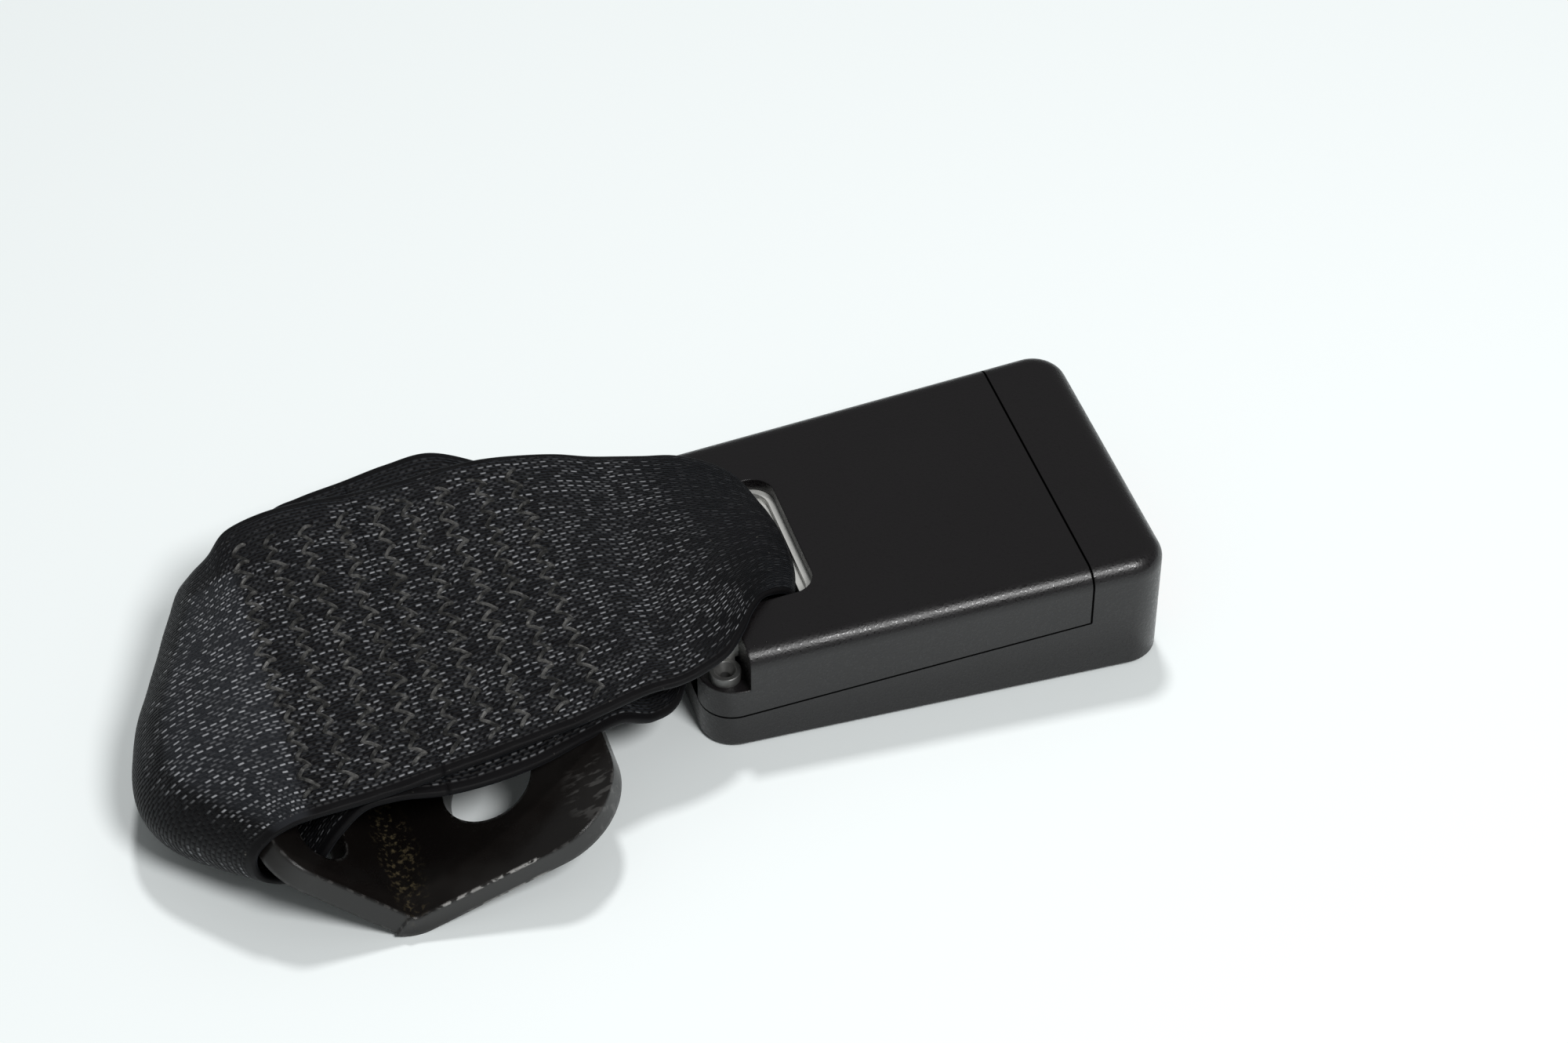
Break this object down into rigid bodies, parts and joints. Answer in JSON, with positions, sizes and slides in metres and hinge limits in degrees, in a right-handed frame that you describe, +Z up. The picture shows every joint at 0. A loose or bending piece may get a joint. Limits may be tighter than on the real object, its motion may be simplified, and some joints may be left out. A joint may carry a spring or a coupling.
{
  "type": "seat belt buckle",
  "caption": "Seat belt buckle with a tapered plastic housing, a sprung end release, a sewn webbing loop and a V-bent steel anchor plate.",
  "frame": {"origin": "centre of the whole part's footprint, on the surface it lies on", "axes": "+X along the belt from the anchor plate to the tongue mouth, +Y across the belt, +Z up out of the surface"},
  "size_m": [0.128, 0.068, 0.0175],
  "materials": {
    "housing_plastic": "fine spark-eroded grain, satin",
    "inner_plastic": "smooth acetal",
    "button_plastic": "smooth, bare",
    "frame_steel": "satin zinc plate",
    "dark_steel": "black phosphate",
    "spring_steel": "drawn wire",
    "painted_plate": "gloss black, worn at the edges",
    "webbing": "ribbed polyester webbing with a sewn field"
  },
  "bodies": {
    "housing": {"front_shell": "housing_plastic", "rear_cover": "housing_plastic", "frame_base": "frame_steel", "frame_top_plate": "frame_steel", "frame_rivets": "dark_steel", "guide_plate": "frame_steel", "mouth_guide": "inner_plastic", "latch_pin": "spring_steel", "pin_clips": "spring_steel", "latch_spring": "spring_steel", "button_spring_near": "spring_steel", "button_spring_far": "spring_steel", "ejector_rod": "spring_steel", "ejector_spring": "spring_steel"},
    "button": {"release_button": "button_plastic", "button_slider": "inner_plastic"},
    "latch_lever": {"latch": "frame_steel"},
    "ejector_slide": {"ejector": "inner_plastic"},
    "strap": {"strap_upper_ply": "webbing", "strap_lower_ply": "webbing", "strap_anchor_loop": "webbing", "strap_buckle_loop": "webbing"},
    "anchor": {"anchor_plate": "painted_plate"}
  },
  "joints": [
    {"name": "strap_swing", "type": "hinge", "parent": "housing", "child": "strap", "pos_m": [0.00739, 0.002, 0.01188], "axis": [0, 1, 0], "range_deg": [-25, 80], "deforming": ["strap_buckle_loop"]},
    {"name": "anchor_swing", "type": "hinge", "parent": "strap", "child": "anchor", "pos_m": [-0.0503, 0, 0.01114], "axis": [0, 1, 0], "range_deg": [0, 110], "deforming": ["strap_anchor_loop"]},
    {"name": "button_press", "type": "slide", "parent": "housing", "child": "button", "axis": [-0.9991, 0, -0.0428], "range_m": [0, 0.005], "stiffness_N_per_m": 600, "springref_m": -0.004, "deforming": ["button_spring_near", "button_spring_far"]},
    {"name": "latch_swing", "type": "hinge", "parent": "housing", "child": "latch_lever", "pos_m": [0.02982, 0.002, 0.00484], "axis": [0, 1, 0], "range_deg": [0, 9.8], "deforming": ["latch_spring"]},
    {"name": "ejector_push", "type": "slide", "parent": "housing", "child": "ejector_slide", "axis": [-0.9991, 0, -0.0428], "range_m": [0, 0.007], "stiffness_N_per_m": 400, "springref_m": -0.004, "deforming": ["ejector_spring"]}
  ],
  "couplings": [
    {"joint": "latch_swing", "follows": "button_press", "rad_per_m": 34.2}
  ]
}
